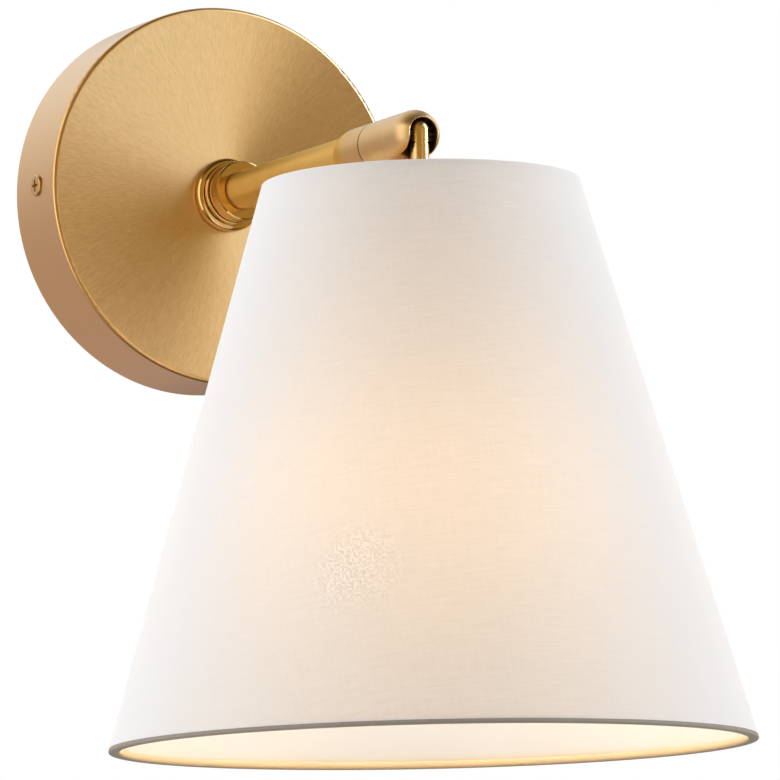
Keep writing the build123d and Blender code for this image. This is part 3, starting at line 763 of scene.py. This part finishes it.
def clothYarn(tree):
    # how pale the yarn is, and how high it stands
    flat = addNode(tree, "UVMap", uv_map="flatCut").outputs[0]
    parts = addNode(tree, "SeparateXYZ", {0: flat}).outputs
    weave = mathStep(tree, "MULTIPLY", threadWave(tree, parts["X"]), threadWave(tree, parts["Y"]))
    slubs = slubNoise(tree, flat, weaving["slubs"])
    uprights = slubNoise(tree, flat, weaving["uprights"])
    yarn = weighted(tree, weaving["slubShare"], slubs, uprights)
    height = mathStep(tree, "MULTIPLY_ADD", weave, weaving["threadShare"], yarn)
    return widen(tree, yarn), height


def shadeCloth():
    finish, tree, shader = startFinish("shadeCloth")
    yarn, height = clothYarn(tree)
    outside = mixTone(tree, yarn, shade["deep"], shade["pale"])
    # the liner inside is plain, with painted shade, golden, along the edge where the hem keeps
    # outside light off
    drop = minusPart(tree, objectPlace(tree), "Z")
    edgeShaded = remap(tree, drop, *shade["edgeShadeSpan"])
    inside = mixTone(tree, edgeShaded, shade["inside"], shade["insideEdgeShade"])
    fromInside = addNode(tree, "NewGeometry").outputs["Backfacing"]
    setShader(
        tree,
        shader,
        tone=mixTone(tree, fromInside, outside, inside),
        rough=weaving["rough"],
        level=weaving["level"],
    )
    bumpFrom(tree, shader, height, weaving["bump"], weaving["bumpDepth"])
    warm = mixTone(tree, yarn, dim(shade["warmth"], shade["warmLow"]), shade["warmth"])
    through = addNode(tree, "BsdfTranslucent", {"Color": warm})
    lit = mixShaders(tree, shade["letsThrough"], shader, through)
    # fuzz on the threads hides what shines through where the cloth turns away
    fuzzLook = {"Color": wholeTone(shade["fuzz"]), "Roughness": shade["fuzzRough"]}
    fuzz = addNode(tree, "BsdfDiffuse", fuzzLook)
    turned = addNode(tree, "LayerWeight", {"Blend": shade["fuzzTurn"]}).outputs["Facing"]
    hidden = remap(tree, turned, *shade["fuzzSpan"], 0.0, shade["fuzzMost"])
    both = mixShaders(tree, hidden, lit, fuzz)
    tree.links.new(both.outputs[0], tree.nodes["Material Output"].inputs["Surface"])
    return finish


def makeShade():
    drops = (shade["coverStart"], shade["coverEnd"])
    made = drawProfile([(coneRadius(drop) - shade["inset"], drop) for drop in drops])
    bmesh.ops.subdivide_edges(made, edges=made.edges[:], cuts=shade["rows"])
    turnRound(made)
    faceOutwards(made)
    layFlat(made)
    cover = keepMesh(made, "shadeFabric", shadeCloth())
    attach(cover, "head")
    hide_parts("shade_cover", "shade_liner")
    return cover


cover = makeShade()

# the cloth's folded edges, under the mouth's wire and over the top one, as radius and drop
hems = {
    "bottom": [(0.09954, 0.1893), (0.09992, 0.19065), (0.0963, 0.19065), (0.0962, 0.1884)],
    "top": [(0.0492, 0.0166), (0.0491, 0.01585), (0.0458, 0.01585), (0.0460, 0.0166)],
    "thickness": 0.00035,
    "round": 0.0007,
    "roundSteps": 4,
    "sameWithin": 1e-6,
    "pale": (0.84, 0.82, 0.79),
    "deep": (0.76, 0.73, 0.69),
    # painted shade: the mouth's hem is the same cloth as the top hem, coloured darker for the
    # shade on its underside
    "mouthShadedPale": (0.36, 0.30, 0.245),
    "mouthShadedDeep": (0.31, 0.26, 0.21),
    "sheen": 0.1,
    "sheenRough": 0.5,
    # painted shade: the mouth hem's inner wall goes gold towards the edge
    "wallShadeSpan": (0.0969, 0.0967),
    "wallShadeTop": (0.74, 0.66, 0.46),
    "wallShadeLow": (0.52, 0.346, 0.173),
    "wallShadeDrops": (0.1884, 0.1906),
}


def paintedWallShade(tree, cloth):
    # painted shade: the inner wall is painted gold where the hem keeps outside light off, deeper
    # towards the edge
    place = vectorStep(tree, "SUBTRACT", objectPlace(tree), tuple(pinPlace))
    radius = vectorStep(tree, "LENGTH", vectorStep(tree, "MULTIPLY", place, (1, 1, 0)))
    low = remap(tree, minusPart(tree, place, "Z"), *hems["wallShadeDrops"])
    inner = remap(tree, radius, *hems["wallShadeSpan"])
    return mixTone(tree, inner, cloth, mixTone(tree, low, hems["wallShadeTop"], hems["wallShadeLow"]))


def hemCloth(name, pale, deep, shadedWall=False):
    finish, tree, shader = startFinish(name)
    yarn, height = clothYarn(tree)
    tone = mixTone(tree, yarn, deep, pale)
    setShader(
        tree,
        shader,
        tone=paintedWallShade(tree, tone) if shadedWall else tone,
        rough=weaving["rough"],
        level=weaving["level"],
        sheen=hems["sheen"],
        sheenRough=hems["sheenRough"],
    )
    bumpFrom(tree, shader, height, weaving["bump"], weaving["bumpDepth"])
    return finish


def cornerRings(made, points):
    # the circles that the profile's inner corners leave
    corners = [-drop for radius, drop in points[1:-1]]
    same = hems["sameWithin"]
    rings = []
    for edge in made.edges:
        first, second = (vert.co - pinPlace for vert in edge.verts)
        level = abs(first.z - second.z) < same
        circular = abs(first.xy.length - second.xy.length) < same
        atCorner = min(abs(first.z - height) for height in corners) < same
        if level and circular and atCorner:
            rings.append(edge)
    return rings


def makeHem(name, points, node, finish):
    made = drawProfile(points)
    turnRound(made)
    bmesh.ops.bevel(
        made,
        geom=cornerRings(made, points),
        offset=hems["round"],
        segments=hems["roundSteps"],
        profile=0.5,
        affect="EDGES",
        material=-1,
        clamp_overlap=True,
    )
    smoothFaces(made)
    faceOutwards(made)
    layFlat(made)
    hem = keepMesh(made, name, finish)
    skin = hem.modifiers.new("skin", "SOLIDIFY")
    skin.thickness = hems["thickness"]
    skin.offset = -1
    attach(hem, "head")
    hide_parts(node)
    return hem


topCloth = hemCloth("topHemCloth", hems["pale"], hems["deep"])
# the mouth's hem gets painted shade: a darker cloth and a gold inner wall
mouthShadedCloth = hemCloth("mouthHemShadedCloth", hems["mouthShadedPale"], hems["mouthShadedDeep"], shadedWall=True)
lowHem = makeHem("shadeBottomHem", hems["bottom"], "shade_bottom_hem", mouthShadedCloth)
highHem = makeHem("shadeTopHem", hems["top"], "shade_top_hem", topCloth)


leads = {
    "diameter": 0.0018,
    "route": [
        (0.0014, -0.1462, 0),
        (0.0014, -0.0331, 0),
        (0.0014, -0.0135, 0),
        (0.0210, -0.0135, 0),
    ],
    "roundSteps": 4,
    "bendSteps": 24,
    "order": 3,
}


def makeLead(name, side, finish):
    curve = bpy.data.curves.new(name, "CURVE")
    curve.dimensions = "3D"
    curve.bevel_depth = leads["diameter"] / 2
    curve.bevel_resolution = leads["roundSteps"]
    curve.resolution_u = leads["bendSteps"]
    spline = curve.splines.new("NURBS")
    spline.points.add(len(leads["route"]) - 1)
    for point, place in zip(spline.points, leads["route"]):
        point.co = (place[0] * side, place[1], place[2], 1)
    spline.order_u = leads["order"]
    spline.use_endpoint_u = True
    curve.materials.append(finish)
    lead = bpy.data.objects.new(name, curve)
    bpy.context.scene.collection.objects.link(lead)
    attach(lead, "base")
    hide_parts("supply_leads")


makeLead("liveLead", 1, finishes["darkPlastic"])
makeLead("neutralLead", -1, finishes["wirePaint"])
print("leads made")
